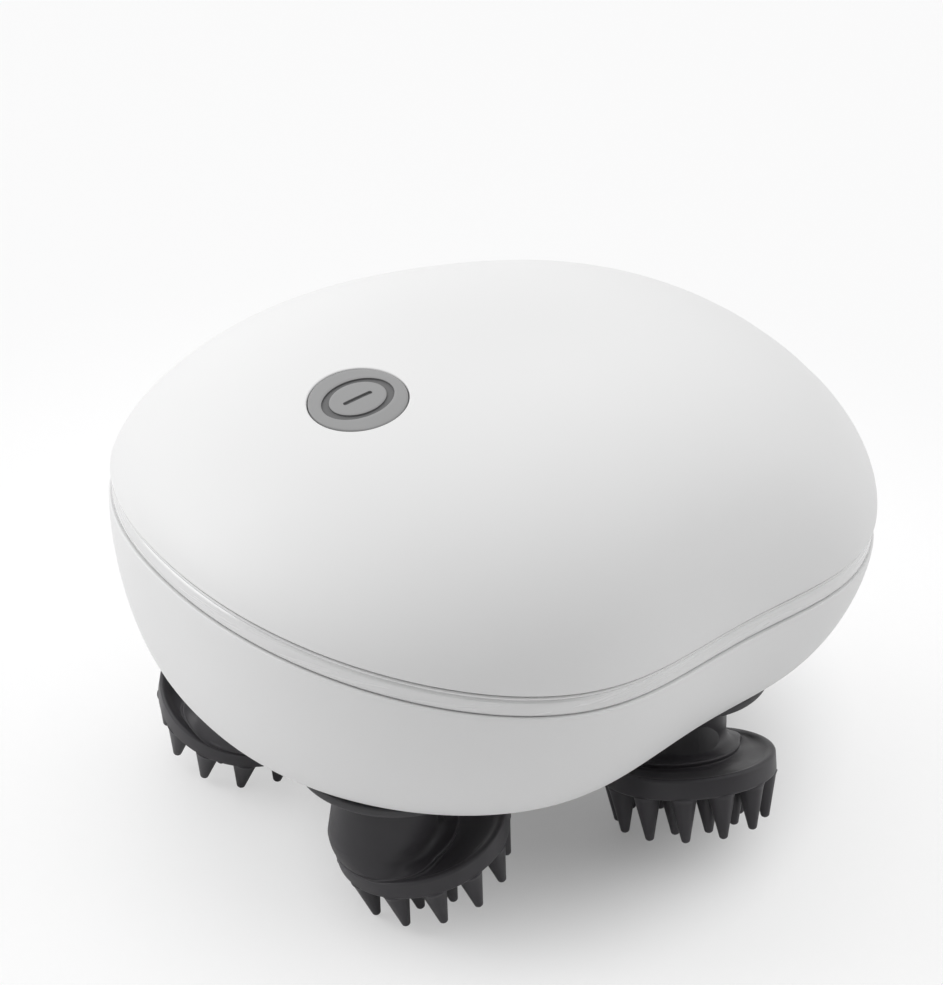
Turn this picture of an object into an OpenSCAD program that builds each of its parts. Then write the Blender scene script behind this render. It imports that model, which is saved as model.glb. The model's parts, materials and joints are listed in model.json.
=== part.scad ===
// Electric scalp massager: a palm-held body with four geared claws turning under it.
// Frame: origin on the ground under the middle of the body, +X towards the charging
// socket, +Z up. The part stands on the tips of its claws.

/* [Body] */
// Length of the body along X
body_len = 128; // [126:0.5:130]
// Width of the oval that the waist is pressed into
oval_w = 114.2; // [113:0.1:115]
// Squareness of the oval, where 2 is an ellipse
oval_power = 2.14; // [2.1:0.01:2.2]
// Depth of the waist on each side at the seam
waist_in = 11.6; // [10:0.2:11.6]
// Place of the waist along the body, from the middle
waist_x = 22.8; // [20:0.2:24]
// Reach of the waist to each side of its place
waist_reach = 33.4; // [31:0.2:34]
// Height of the underside above the ground
underside_z = 28.9; // [28.4:0.1:29.2]
// Height of the lower shell at mid-length
lower_h = 21.8; // [21.4:0.1:22.4]
// Clearance from the claw gears to the underside's edge, along the body
rim_clear = 3.75; // [3.25:0.25:4.25]
// Roundness of the lower shell's side
lower_power = 1.58; // [1.56:0.01:1.7]
// Height of the dome above the band
dome_h = 30.8; // [30:0.2:34]
// Flatness of the dome's crown
dome_power = 3; // [2.8:0.05:3.2]
// Steepness of the dome's foot
foot_power = 1.54; // [1.5:0.01:1.6]
// Shift of the crown along the body
crown_shift = 4; // [3:0.25:5]
// Slope of the crown: its drop from mid-length to the +X end
crown_slope = 4; // [3:0.25:5]
// Rise of the seam at both ends
seam_rise = 4; // [3.4:0.1:4.4]
// Slope of the seam: its drop at the +X end and rise at the -X end
seam_slope = 5.8; // [5:0.1:6]

/* [Shells] */
// Wall of the upper and lower shells
wall = 2.4; // [2:0.1:2.5]
// Floor of the lower shell
floor_t = 2.4; // [2.2:0.1:2.6]
// Height of the trim band's face
band_h = 3.1; // [2.4:0.1:3.6]
// Groove between the band's face and the upper shell
groove_h = 0.8; // [0.4:0.1:1.2]
// Parting gap under the band's face
parting_gap = 0.25; // [0.1:0.05:0.5]
// Set-back of the band from the shells' faces
band_back = 0.4; // [0.2:0.1:0.6]
// Depth of the band's face, inwards
band_face = 1.2; // [1:0.1:1.4]
// Depth of the tongue behind the band's face
tongue_t = 1.8; // [1.4:0.1:2]

/* [Claws] */
// Half the spacing of the claws along the body
claw_x = 28.5; // [28.3:0.1:28.8]
// Shift of the four claws along the body
claw_shift = -4; // [-4.5:0.25:-3.5]
// Radius of a claw's round head
head_r = 14.4; // [14:0.1:14.5]
// Height of the band round the head
head_h = 3.6; // [3.4:0.1:4]
// Depth of the dish on top of the head
dish_deep = 0.7; // [0.3:0.1:0.9]
// Offset of the head's middle from its spindle
head_shift = 7.4; // [7:0.1:7.6]
// Tilt of the head from its spindle
head_tilt = 18.2; // [18:0.1:18.6]
// Directions in which the four heads lean at rest
head_turn = [-12, 68, -100, 180];
// Tines in the outer ring
outer_tines = 12; // [11:1:13]
// Tines in the inner ring
inner_tines = 9; // [8:1:10]
// Radius of the outer ring of tines
outer_ring_r = 12.1; // [12:0.05:12.15]
// Radius of the inner ring of tines
inner_ring_r = 8; // [7.6:0.1:8.1]
// Turn of the outer tines on each head, from one at its lowest place
outer_turn = [15, 22, 0, 0];
// Turn of the inner tines on each head
inner_turn = [11, 8, 15, 15];
// Length of a tine
tine_len = 7.9; // [7.5:0.1:8.1]
// Radius of a tine at its root
tine_root_r = 2.2; // [1.8:0.1:2.2]
// Radius of a tine at its tip
tine_tip_r = 0.75; // [0.6:0.05:0.9]
// Radius of the claw's neck under the collar
neck_r = 8; // [7.8:0.1:8.2]
// Length of the neck's round part
neck_len = 6; // [5:0.5:7]
// Radius of the bell's foot under the neck
bell_r = 9.4; // [9.2:0.1:9.6]
// Shift of the bell's foot to the side that leans down
bell_shift = 1; // [0.8:0.1:1.2]
// Height of the bell's foot above the head's lower edge
bell_s = 5; // [4.8:0.1:5.4]
// Radius of the waist between the bell and the head
claw_waist_r = 8.2; // [8:0.05:8.3]
// Shift of the waist to the side that leans down
waist_shift = 2.1; // [2:0.05:2.15]
// Radius of the collar under the shell
collar_r = 15; // [14.4:0.1:15.6]
// Thickness of the collar's flange
collar_t = 1.8; // [1.6:0.1:2]

/* [Gears] */
// Module of the claw gears
claw_module = 1.5; // [1.5]
// Teeth of the drive gear
drive_teeth = 30; // [30]
// Teeth of a claw gear
claw_teeth = 16; // [16]
// Module of the reduction wheels
fine_module = 0.5; // [0.5]
// Teeth of a reduction wheel
wheel_teeth = 70; // [70]
// Teeth of a reduction pinion
pinion_teeth = 14; // [14]
// Height of the claw gears above the floor
gear_z = 2.5; // [2.4:0.1:2.6]
// Thickness of the claw gears
gear_t = 5; // [4.5:0.1:5]
// Thickness of the reduction wheels
wheel_t = 3; // [2.6:0.1:3]
// Thickness of the gearbox plates
plate_t = 2; // [1.8:0.1:2.2]

/* [Drive] */
// Radius of the motor can
motor_r = 12.2; // [11:0.1:12.5]
// Height of the motor can
motor_h = 17; // [15:0.5:17.5]
// Radius of the battery cell
cell_r = 9.1; // [7:0.1:9.2]
// Length of the battery cell
cell_len = 50; // [40:1:50]
// Place of the battery cell along the body
cell_x = 27.6; // [27:0.1:28]

/* [Button] */
// Place of the power button along the body, from the middle
button_x = -29.4; // [-31:0.2:-28]
// Radius of the button's cap
cap_r = 8; // [7.8:0.1:8.6]
// Travel of the button
button_travel = 0.8; // [0.6:0.1:0.9]

/* [Charging] */
// Height of the charging socket
socket_z = 42.4; // [42:0.1:42.8]
// Radius of the socket's round recess
socket_r = 3.4; // [3:0.1:3.6]
// Depth of the socket's recess
socket_deep = 3; // [2:0.2:4]

/* [Hidden] */
// Smooth outlines: points round the body, rings from seam to crown and to underside
ROUND = 64;
DOME_RINGS = 12;
SIDE_RINGS = 7;
FINE = 48;
EPS = 0.01;
// Depth by which one shape of a piece is sunk into the next
SUNK = 0.3;
// Clearances: press fit, sliding fit, running gap between faces
PRESS = 0.02;
FIT = 0.05;
GAP = 0.15;

half_len = body_len / 2;
seam_z = underside_z + lower_h;
tongue_h = band_h + groove_h + parting_gap;
dome_z0 = seam_z + tongue_h;
floor_z = underside_z + floor_t;

// Gearbox: wheel centres and levels above the floor
gear_gap = claw_module * (drive_teeth + claw_teeth) / 2;
claw_y = sqrt(gear_gap * gear_gap - claw_x * claw_x);
wheel_gap = fine_module * (wheel_teeth + pinion_teeth) / 2;
drive_gear_r = claw_module * (drive_teeth / 2 + 1);
claw_gear_r = claw_module * (claw_teeth / 2 + 0.9);
under_in = half_len - (abs(claw_shift) + claw_x + claw_gear_r + wall + rim_clear);
mid_z = gear_z + gear_t + 0.8;
wheel1_z = mid_z + plate_t + 0.8;
wheel2_z = wheel1_z + wheel_t + 1;
cover_z = wheel2_z + wheel_t + 1.2;
motor_z = cover_z + plate_t;
counter_x = wheel_gap;
bush_r = 4.5;
plate_x = claw_x + bush_r + 4;
spindle_r = 2.5;
axle_r = 2;
counter_r = 1.5;
motor_shaft_r = 1;

// Claw: the head's axis meets the spindle's axis at the pivot height
head_drop = head_shift / sin(head_tilt);
pivot_z = (head_drop + tine_len) * cos(head_tilt) + (outer_ring_r + tine_tip_r / 2) * sin(head_tilt);
claw_top = underside_z - collar_t - 0.5;
bell_t = 0.8;
core_skin = 1.7;
core_top = 9.6;
disc_r = 12;
disc_t = 1.2;
disc_s = (head_h - dish_deep - disc_t) / 2;
hub_r = 4.4;
hub_top = underside_z + 1.6;
clip_z = mid_z + plate_t + GAP;
spindle_low = pivot_z - (head_drop - core_top - 0.6) / cos(head_tilt);

// Fasteners and posts
post_r = 3.2;
post_x = 12;
post_y = drive_gear_r + post_r + 0.2;
cover_side = post_y - post_r + 1.8;
box_screw_r = 1.1;
case_screw_r = 1.3;
case_post_r = 3.4;
case_boss_r = 4.2;
case_head_r = 2.6;
case_back = claw_shift - claw_x - 13.5;
case_front = cell_x + cell_r + 0.6 + case_boss_r + 2;
case_side = post_y + post_r + case_boss_r + 0.7;
case_spots = [[case_back, 5.5], [case_back, -5.5], [case_front, 11], [case_front, -11],
    [claw_shift, case_side], [claw_shift, -case_side]];
boss_top = seam_z - 6.6;

// Battery holder: its pins, and the cell's place seen from the gears
holder_pin_y = cell_len / 2 - 5;
cell_off = cell_x - claw_shift;

// Charging socket: its seat inside the shell, its face, its body and its contacts
socket_x = half_len - 12;
socket_face = half_len - 2.2;
socket_body_r = 4.5;
contact_r = 0.7;
contact_y = 1.5;

// Button stack, measured down its own axis from the dome's surface
cap_bottom = 3.3;
flange_r = cap_r + 1.3;
flange_t = 1.2;
stack_r = cap_r + 3.2;
boss_low = cap_bottom + flange_t + button_travel + 0.3;
guide_t = 1.6;
stem_r = 3;
stem_low = boss_low + guide_t + 2.8;
plunger_r = 1.75;
switch_top = stem_low + 1.3;
switch_h = 3.2;
pcb_top = switch_top + switch_h;
pcb_t = 1.6;
pcb_w = 26;
pcb_post = 10;

// Corner signs of the four claws: button end first, then the socket end
CORNERS = [[-1, -1], [-1, 1], [1, -1], [1, 1]];
CLAWS = [1, 2, 3, 4];
function claw_spot(i) = [claw_shift + CORNERS[i - 1].x * claw_x, CORNERS[i - 1].y * claw_y];

WHITE = [0.93, 0.93, 0.93];
CHARCOAL = [0.2, 0.2, 0.22];
STEEL = [0.75, 0.76, 0.78];
NYLON = [0.9, 0.88, 0.8];

function numbered(name) = [for (i = CLAWS) str(name, "_", i)];

// ---- Body surfaces ----

function swell(t) = let (c = cos(t)) sign(c) * pow(abs(c), 2 / oval_power);

// Point of the body's outline at angle t, with a share k of the waist, set in by d
function outline(t, k, d) =
    let (x = half_len * swell(t),
         b = oval_w / 2 - k * waist_in * exp(-pow((x - waist_x) / waist_reach, 2)),
         p = [x, b * swell(t - 90)])
    p * (1 - d / norm(p));

function seam_lift(x) = seam_rise * pow(x / half_len, 2) - seam_slope * x / half_len;

// Lift of the dome's level h, from 0 at the seam to 1 at the crown
function dome_lift(x, h) = seam_lift(x) * (1 - h) - crown_slope * h * x / half_len;

// Ring of the dome at angle a above the band, set in by d
function dome_ring(a, d) =
    let (h = pow(sin(a), 2 / foot_power), s = pow(cos(a), 2 / dome_power))
    [for (j = [0 : ROUND - 1])
        let (p = outline(j * 360 / ROUND, 1 - h, d) * s, x = p.x + crown_shift * h)
        [x, p.y, dome_z0 + (dome_h - d) * h + dome_lift(x, h)]];
function crown(d) = [crown_shift, 0, dome_z0 + dome_h - d + dome_lift(crown_shift, 1)];

// Ring of the lower shell at angle a below the seam, set in by d, ending at height low
function side_ring(a, d, low) =
    let (h = pow(sin(a), 2 / lower_power),
         s = 1 - under_in / half_len * (1 - pow(cos(a), 2 / lower_power)))
    [for (j = [0 : ROUND - 1])
        let (p = outline(j * 360 / ROUND, 1, d) * s)
        [p.x, p.y, seam_z - (seam_z - low) * h + seam_lift(p.x) * (1 - h)]];

// Ring parallel to the seam, set in by d and raised by z
function seam_ring(d, z) =
    [for (j = [0 : ROUND - 1]) let (p = outline(j * 360 / ROUND, 1, d)) [p.x, p.y, z + seam_lift(p.x)]];

// Height and slope of the dome along its middle
function dome_level(x, h = 1, k = 9) = k == 0 ? h : dome_level(x,
    pow(1 - pow(abs(x - crown_shift * h) / half_len, dome_power), 1 / foot_power), k - 1);
function dome_z(x) = let (h = dome_level(x)) dome_z0 + dome_h * h + dome_lift(x, h);
button_lean = atan(dome_z(button_x + 0.5) - dome_z(button_x - 0.5));

// Skin over rings of equal length: closed into a loop, or ended with one point at each end
module skin(rings, ends = []) {
    n = len(rings[0]);
    m = len(rings);
    last = len(ends) == 0 ? m - 1 : m - 2;
    points = concat([for (ring = rings) for (p = ring) p], ends);
    sides = [for (i = [0 : last], j = [0 : n - 1])
        let (a = i * n, b = (i + 1) % m * n, k = (j + 1) % n)
        each [[a + j, b + j, b + k], [a + j, b + k, a + k]]];
    first = [for (j = [0 : n - 1]) [m * n, j, (j + 1) % n]];
    final = [for (j = [0 : n - 1]) [m * n + 1, (m - 1) * n + (j + 1) % n, (m - 1) * n + j]];
    polyhedron(points, len(ends) == 0 ? sides : concat(sides, first, final), 4);
}

module at_button() {
    translate([button_x, 0, dome_z(button_x)]) rotate([0, -button_lean, 0]) children();
}

// Disc or tube down the button's axis, from depth a to depth b
module stack_disc(r, a, b) {
    translate([0, 0, -b]) cylinder(r = r, h = b - a, $fn = FINE);
}

module pin_at(p, r, z, h) {
    translate([p.x, p.y, z]) cylinder(r = r, h = h, $fn = FINE);
}

module rounded_plate(x0, x1, y, r, t) {
    linear_extrude(t) polygon([for (c = [[x1 - r, y - r, 0], [x0 + r, y - r, 90], [x0 + r, r - y, 180],
        [x1 - r, r - y, 270]], a = [0 : 15 : 90]) [c.x + r * cos(c[2] + a), c.y + r * sin(c[2] + a)]]);
}

// ---- Shells and band ----

module dome_solid(d, drop) {
    rings = [for (i = [0 : DOME_RINGS - 1]) dome_ring(90 * i / DOME_RINGS, d)];
    foot = [for (p = rings[0]) [p.x, p.y, p.z - drop]];
    skin(drop > 0 ? concat([foot], rings) : rings,
        [[0, 0, dome_z0 - drop], crown(d)]);
}

module dome_shell() {
    outer = [for (i = [0 : DOME_RINGS - 1]) dome_ring(90 * i / DOME_RINGS, 0)];
    inner = [for (i = [DOME_RINGS - 1 : -1 : 0]) dome_ring(90 * i / DOME_RINGS, wall)];
    skin(concat(inner, outer), [crown(wall), crown(0)]);
}

// Column from height z up into the dome, trimmed at the middle of its wall
module dome_posts() {
    intersection() {
        dome_solid(wall / 2, 20);
        union() {
            for (p = case_spots) pin_at(p, case_post_r, boss_top + FIT, 60);
            at_button() {
                stack_disc(stack_r, 0, boss_low);
                for (x = [-pcb_post, pcb_post], y = [-pcb_post, pcb_post])
                    translate([x, y]) stack_disc(2.2, 0, pcb_top);
            }
        }
    }
}

module top_shell() {
    color(WHITE) difference() {
        union() {
            dome_shell();
            dome_posts();
        }
        for (p = case_spots) pin_at(p, case_screw_r + PRESS, boss_top - 1, 13);
        at_button() {
            stack_disc(cap_r + GAP, -3, boss_low + 1);
            stack_disc(flange_r + 0.3, cap_bottom - FIT, boss_low + 1);
            for (x = [-pcb_post, pcb_post], y = [-pcb_post, pcb_post])
                translate([x, y]) stack_disc(0.8, pcb_top - 6, pcb_top + 1);
        }
    }
}

module trim_band() {
    deep = band_back + band_face;
    back = deep + tongue_t;
    face_low = seam_z + parting_gap;
    color([0.86, 0.88, 0.9, 0.7]) skin([
        seam_ring(band_back, face_low), seam_ring(band_back, face_low + band_h),
        seam_ring(deep, face_low + band_h), seam_ring(deep, dome_z0 - FIT),
        seam_ring(back, dome_z0 - FIT), seam_ring(back, seam_z + FIT),
        seam_ring(deep, seam_z + FIT), seam_ring(deep, face_low)]);
}

module side_wall() {
    outer = [for (i = [SIDE_RINGS : -1 : 0]) side_ring(90 * i / SIDE_RINGS, 0, underside_z)];
    inner = [for (i = [0 : SIDE_RINGS]) side_ring(90 * i / SIDE_RINGS, wall, floor_z)];
    foot = [for (p = side_ring(90, wall, floor_z)) [p.x, p.y, underside_z]];
    skin(concat(outer, inner, [foot]));
}

module bottom_shell() {
    color(WHITE) difference() {
        union() {
            side_wall();
            translate([0, 0, underside_z]) linear_extrude(floor_t)
                polygon([for (p = side_ring(90, wall / 2, underside_z)) [p.x, p.y]]);
            for (x = [-post_x, post_x], y = [-post_y, post_y])
                pin_at([claw_shift + x, y], post_r, floor_z - EPS, mid_z + EPS);
            pin_at([claw_shift, 0], 4.5, floor_z - EPS, 2 + EPS);
            intersection() {
                union() {
                    for (p = case_spots) pin_at(p, case_boss_r, floor_z - 1, boss_top - floor_z + 1);
                    at_socket() pin_at([0, 0], socket_body_r + 1.7, socket_x, 14);
                }
                skin([for (i = [SIDE_RINGS : -1 : 0]) side_ring(90 * i / SIDE_RINGS, wall / 2, underside_z)],
                    [[0, 0, underside_z], [0, 0, seam_z]]);
            }
        }
        for (i = CLAWS) pin_at(claw_spot(i), neck_r + 0.2 + PRESS, underside_z - 1, floor_t + 2);
        for (x = [-post_x, post_x], y = [-post_y, post_y])
            pin_at([claw_shift + x, y], box_screw_r + PRESS, floor_z + 1, mid_z);
        pin_at([claw_shift, 0], axle_r + FIT, floor_z - 1, 4);
        for (p = case_spots) {
            pin_at(p, case_head_r + 0.3, underside_z - 1, boss_top - underside_z - 2);
            pin_at(p, case_screw_r + 0.15, underside_z, boss_top - underside_z + 1);
        }
        at_socket() pin_at([0, 0], socket_body_r + PRESS, socket_x - 1, 20);
    }
}

// ---- Under the floor: collars, seals and bushes ----

module collars() {
    color(CHARCOAL) for (i = CLAWS) translate(claw_spot(i)) difference() {
        union() {
            pin_at([0, 0], collar_r, underside_z - collar_t, collar_t);
            pin_at([0, 0], neck_r + 0.2, underside_z - EPS, floor_t + EPS);
        }
        pin_at([0, 0], 6.6, underside_z - collar_t - 1, collar_t + floor_t + 2);
    }
}

module shaft_seals() {
    color([0.12, 0.12, 0.12]) for (i = CLAWS) translate(claw_spot(i)) difference() {
        pin_at([0, 0], 6.6 - PRESS, underside_z - collar_t, collar_t);
        pin_at([0, 0], hub_r + FIT, underside_z - collar_t - 1, collar_t + 2);
    }
}

module lower_bushes() {
    color(NYLON) for (i = CLAWS) translate(claw_spot(i)) difference() {
        union() {
            pin_at([0, 0], 6.6 - PRESS, underside_z, floor_t + EPS);
            pin_at([0, 0], 9.6, floor_z, 1.4);
        }
        pin_at([0, 0], hub_r + 0.3, underside_z - 1, hub_top - underside_z + 1.3);
        pin_at([0, 0], spindle_r + FIT, underside_z, 8);
    }
}

module upper_bushes() {
    color(NYLON) for (i = CLAWS) translate(claw_spot(i)) difference() {
        union() {
            pin_at([0, 0], bush_r, floor_z + mid_z - EPS, plate_t + EPS);
            pin_at([0, 0], 6, floor_z + mid_z - 0.6, 0.6);
        }
        pin_at([0, 0], spindle_r + FIT, floor_z, 20);
    }
}

// ---- Gearbox ----

function involute(a) = tan(a) * 180 / PI - a;

// Half the angle of a tooth at radius r; slack is the backlash on the pitch circle
function tooth_half(z, m, slack, r) =
    let (rp = z * m / 2)
    90 / z - slack / rp * 45 / PI + involute(20) - involute(acos(min(1, rp * cos(20) / r)));

// Gear outline with a tooth at the angle phase; tip is the addendum in modules
function gear_outline(z, m, tip, slack, phase, steps = 4) =
    let (rp = z * m / 2, rb = rp * cos(20), rf = rp - 1.25 * m, ra = rp + tip * m, r0 = max(rb, rf),
         flank = [for (k = [0 : steps]) r0 + (ra - r0) * k / steps],
         root = rf < rb ? [rf] : [],
         up = concat(root, flank),
         m1 = len(up) - 1)
    [for (i = [0 : z - 1], k = [0 : 2 * m1 + 1])
        let (rise = k <= m1, r = rise ? up[k] : up[2 * m1 + 1 - k],
             a = phase + i * 360 / z + (rise ? -1 : 1) * tooth_half(z, m, slack, max(r, rb)))
        r * [cos(a), sin(a)]];

// Phase of gear 2 that meshes with gear 1, when gear 2 lies in the direction dir from gear 1
function mesh_phase(dir, p1, z1, z2) = dir + 180 - (p1 - dir) * z1 / z2 - 180 / z2;

module gear(z, m, tip, slack, phase, t, bore, web = 0, steps = 4) {
    difference() {
        union() {
            linear_extrude(t) polygon(gear_outline(z, m, tip, slack, phase, steps));
            children();
        }
        translate([0, 0, -20]) cylinder(r = bore, h = 60, $fn = FINE);
        if (web > 0) for (k = [0 : 4]) rotate(36 + 72 * k) translate([web, 0, -1])
            cylinder(r = web / 3.2, h = t + 2, $fn = FINE);
    }
}

module gearbox_plate() {
    color(NYLON) translate([claw_shift, 0, floor_z]) difference() {
        union() {
            translate([0, 0, mid_z])
                rounded_plate(-plate_x, plate_x, claw_y + bush_r + 3, bush_r + 3.5, plate_t);
            for (x = [-post_x, post_x], y = [-post_y, post_y])
                pin_at([x, y], post_r, mid_z, cover_z - mid_z);
        }
        for (x = [-post_x, post_x], y = [-post_y, post_y])
            pin_at([x, y], box_screw_r + 0.1, mid_z - 1, cover_z);
        for (c = CORNERS) pin_at([c.x * claw_x, c.y * claw_y], bush_r + PRESS, mid_z - 1, plate_t + 2);
        pin_at([0, 0], axle_r + FIT, mid_z - 1, plate_t + 2);
        pin_at([counter_x, 0], counter_r + FIT, mid_z - 1, plate_t + 2);
    }
}

module gearbox_cover() {
    color(NYLON) translate([claw_shift, 0, floor_z]) difference() {
        union() {
            translate([0, 0, cover_z])
                rounded_plate(-motor_r - 3.8, cell_off + cell_r + 1.3, cover_side, 8, plate_t);
            for (x = [-post_x, post_x], y = [-post_y, post_y]) pin_at([x, y], post_r + 0.6, cover_z, plate_t);
        }
        for (x = [-post_x, post_x], y = [-post_y, post_y])
            pin_at([x, y], box_screw_r + 0.1, cover_z - 1, plate_t + 2);
        pin_at([0, 0], 3.2, cover_z - 1, plate_t + 2);
        pin_at([counter_x, 0], counter_r + FIT, cover_z - 1, plate_t + 2);
        for (y = [-8, 8]) pin_at([0, y], 1.1, cover_z - 1, plate_t + 2);
        for (x = [-6, 6], y = [-1, 1])
            pin_at([cell_off + x, y * holder_pin_y], 1.5 + PRESS, cover_z - 1, plate_t + 2);
    }
}

// Pan-head screw with its head's underside at z = 0, pointing down, with a cross slot
module screw(r, len, head_r, head_t) {
    difference() {
        union() {
            translate([0, 0, -len]) cylinder(r = r, h = len + EPS, $fn = 24);
            cylinder(r = head_r, h = head_t, $fn = FINE);
        }
        for (a = [0, 90]) rotate(a) translate([-head_r * 0.6, -0.25, head_t - 0.5])
            cube([head_r * 1.2, 0.5, 1]);
    }
}

module gearbox_screws() {
    color(STEEL) for (x = [-post_x, post_x], y = [-post_y, post_y])
        translate([claw_shift + x, y, floor_z + motor_z]) screw(box_screw_r, motor_z - 1.5, 2.3, 1.5);
}

module case_screws() {
    color(STEEL) for (p = case_spots) translate([p.x, p.y, boss_top - 3]) mirror([0, 0, 1])
        screw(case_screw_r, 12, case_head_r, 2);
}

module drive_gear() {
    color(NYLON) translate([claw_shift, 0, floor_z + gear_z])
        gear(drive_teeth, claw_module, 0.9, 0.14, 0, gear_t, axle_r + PRESS, 12);
}

module drive_axle() {
    color(STEEL) pin_at([claw_shift, 0], axle_r, floor_z - 1 + GAP, wheel2_z - 0.4 + 1 - GAP);
}

module drive_wheel() {
    color(NYLON) translate([claw_shift, 0, floor_z + wheel1_z])
        gear(wheel_teeth, fine_module, 0.8, 0.08, 0, wheel_t, axle_r + PRESS, 9.6, 2);
}

module counter_axle() {
    color(STEEL) pin_at([claw_shift + counter_x, 0], counter_r, floor_z + mid_z + GAP,
        motor_z - mid_z - 2 * GAP);
}

module counter_pinion() {
    color(STEEL) translate([claw_shift + counter_x, 0, floor_z + wheel1_z - 0.2])
        gear(pinion_teeth, fine_module, 0.9, 0.08, mesh_phase(0, 0, wheel_teeth, pinion_teeth),
            wheel_t + 0.8, counter_r + PRESS, 0, 3);
}

module counter_wheel() {
    color(NYLON) translate([claw_shift + counter_x, 0, floor_z + wheel2_z])
        gear(wheel_teeth, fine_module, 0.8, 0.08, 0, wheel_t, counter_r + PRESS, 9.6, 2);
}

module motor_pinion() {
    color(STEEL) translate([claw_shift, 0, floor_z + wheel2_z - 0.2])
        gear(pinion_teeth, fine_module, 0.9, 0.08, mesh_phase(180, 0, wheel_teeth, pinion_teeth),
            wheel_t + 0.4, motor_shaft_r + PRESS, 0, 3);
}

module motor_can() {
    color(STEEL) translate([claw_shift, 0, floor_z + motor_z]) difference() {
        union() {
            cylinder(r = motor_r, h = motor_h, $fn = 96);
            translate([0, 0, 1 - plate_t]) cylinder(r = 3, h = plate_t, $fn = FINE);
            translate([0, 0, motor_h - EPS]) cylinder(r = 3, h = 1, $fn = FINE);
        }
        translate([0, 0, -5]) cylinder(r = motor_shaft_r + FIT, h = motor_h + 10, $fn = FINE);
        for (y = [-8, 8]) pin_at([0, y], 0.95 + PRESS, -1, 4);
    }
}

module motor_screws() {
    color(STEEL) for (y = [-8, 8]) translate([claw_shift, y, floor_z + cover_z]) mirror([0, 0, 1])
        screw(0.95, plate_t + 2.5, 1.9, 1);
}

module motor_shaft() {
    top = motor_z + motor_h + 1.4;
    color(STEEL) pin_at([claw_shift, 0], motor_shaft_r, floor_z + wheel2_z - 0.2, top - wheel2_z + 0.2);
}

// ---- Battery and charging ----

module along_y(r, len) {
    rotate([90, 0, 0]) cylinder(r = r, h = len, center = true, $fn = 72);
}

module battery_cell() {
    color([0.35, 0.55, 0.45]) translate([cell_x, 0, floor_z + motor_z + 1.6 + cell_r]) {
        along_y(cell_r, cell_len - 1);
        translate([0, cell_len / 2 - EPS, 0]) along_y(3, 1);
    }
}

module battery_holder() {
    z = floor_z + motor_z;
    end_t = 1.6;
    reach = cell_len / 2 + 0.8;
    color(CHARCOAL) {
        difference() {
            union() {
                translate([cell_x - cell_r - 0.6, -reach, z]) cube([2 * cell_r + 1.2, 2 * reach, 9]);
                for (s = [-1, 1])
                    translate([cell_x - cell_r - 0.6, s * (reach + end_t / 2) - end_t / 2 - EPS, z])
                        cube([2 * cell_r + 1.2, end_t + 2 * EPS, 13]);
                for (x = [-6, 6], y = [-1, 1])
                    pin_at([cell_x + x, y * holder_pin_y], 1.5, z - plate_t, plate_t + EPS);
            }
            translate([cell_x, 0, z + 1.6 + cell_r]) along_y(cell_r + GAP, 2 * reach);
        }
    }
}

// Along +X at the socket's height, from x = 0
module at_socket() {
    translate([0, 0, socket_z]) rotate([0, 90, 0]) children();
}

module charge_socket() {
    color(CHARCOAL) at_socket() difference() {
        union() {
            pin_at([0, 0], socket_body_r, socket_x - 1, socket_face - socket_x + 1);
            pin_at([0, 0], socket_body_r + 1.3, socket_x - 5, 5 - GAP);
        }
        pin_at([0, 0], socket_r, socket_face - socket_deep, socket_deep + 1);
        for (y = [-contact_y, contact_y]) pin_at([0, y], contact_r + PRESS, socket_x - 6, 20);
    }
}

module charge_contacts() {
    color([0.85, 0.7, 0.35]) at_socket() for (y = [-contact_y, contact_y])
        pin_at([0, y], contact_r, socket_x - 7, socket_face - socket_deep - GAP - socket_x + 7);
}

// ---- Button, switch and board ----

module power_button() {
    oval = [for (a = [0 : 10 : 350]) [cos(a), sin(a)]];
    color([0.62, 0.62, 0.63]) at_button() difference() {
        union() {
            stack_disc(cap_r, 0, cap_bottom + EPS);
            stack_disc(flange_r, cap_bottom, cap_bottom + flange_t);
            stack_disc(stem_r, cap_bottom + flange_t - EPS, stem_low);
        }
        translate([0, 0, -0.4]) difference() {
            linear_extrude(2) polygon([for (p = oval) [6.3 * p.x, 5.1 * p.y]]);
            translate([0, 0, -1]) linear_extrude(4) polygon([for (p = oval) [5.4 * p.x, 4.2 * p.y]]);
        }
        translate([-2.4, -0.25, -0.4]) cube([4.8, 0.5, 2]);
    }
}

module button_guide() {
    color(WHITE) at_button() difference() {
        stack_disc(stack_r, boss_low, boss_low + guide_t);
        stack_disc(stem_r + FIT, boss_low - 1, boss_low + guide_t + 1);
    }
}

module button_seal() {
    color([0.12, 0.12, 0.12]) at_button() translate([0, 0, -boss_low - guide_t - 0.8])
        rotate_extrude($fn = FINE) translate([stem_r + 0.75, 0]) circle(r = 0.7, $fn = 24);
}

module switch_plunger() {
    color([0.2, 0.2, 0.2]) at_button() stack_disc(plunger_r, stem_low, switch_top + 0.9);
}

module tact_switch() {
    color(STEEL) at_button() difference() {
        translate([-3, -3, -pcb_top]) cube([6, 6, switch_h]);
        stack_disc(plunger_r + 0.1, switch_top - 1, switch_top + 2);
    }
}

module main_pcb() {
    color([0.1, 0.4, 0.25]) at_button() difference() {
        translate([-pcb_w / 2, -pcb_w / 2, -pcb_top - pcb_t]) cube([pcb_w, pcb_w, pcb_t]);
        for (x = [-pcb_post, pcb_post], y = [-pcb_post, pcb_post])
            translate([x, y]) stack_disc(0.9, pcb_top - 1, pcb_top + pcb_t + 1);
    }
}

module pcb_screws() {
    color(STEEL) at_button() for (x = [-pcb_post, pcb_post], y = [-pcb_post, pcb_post])
        translate([x, y, -pcb_top - pcb_t]) mirror([0, 0, 1]) screw(0.78, 6, 1.6, 1);
}

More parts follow.
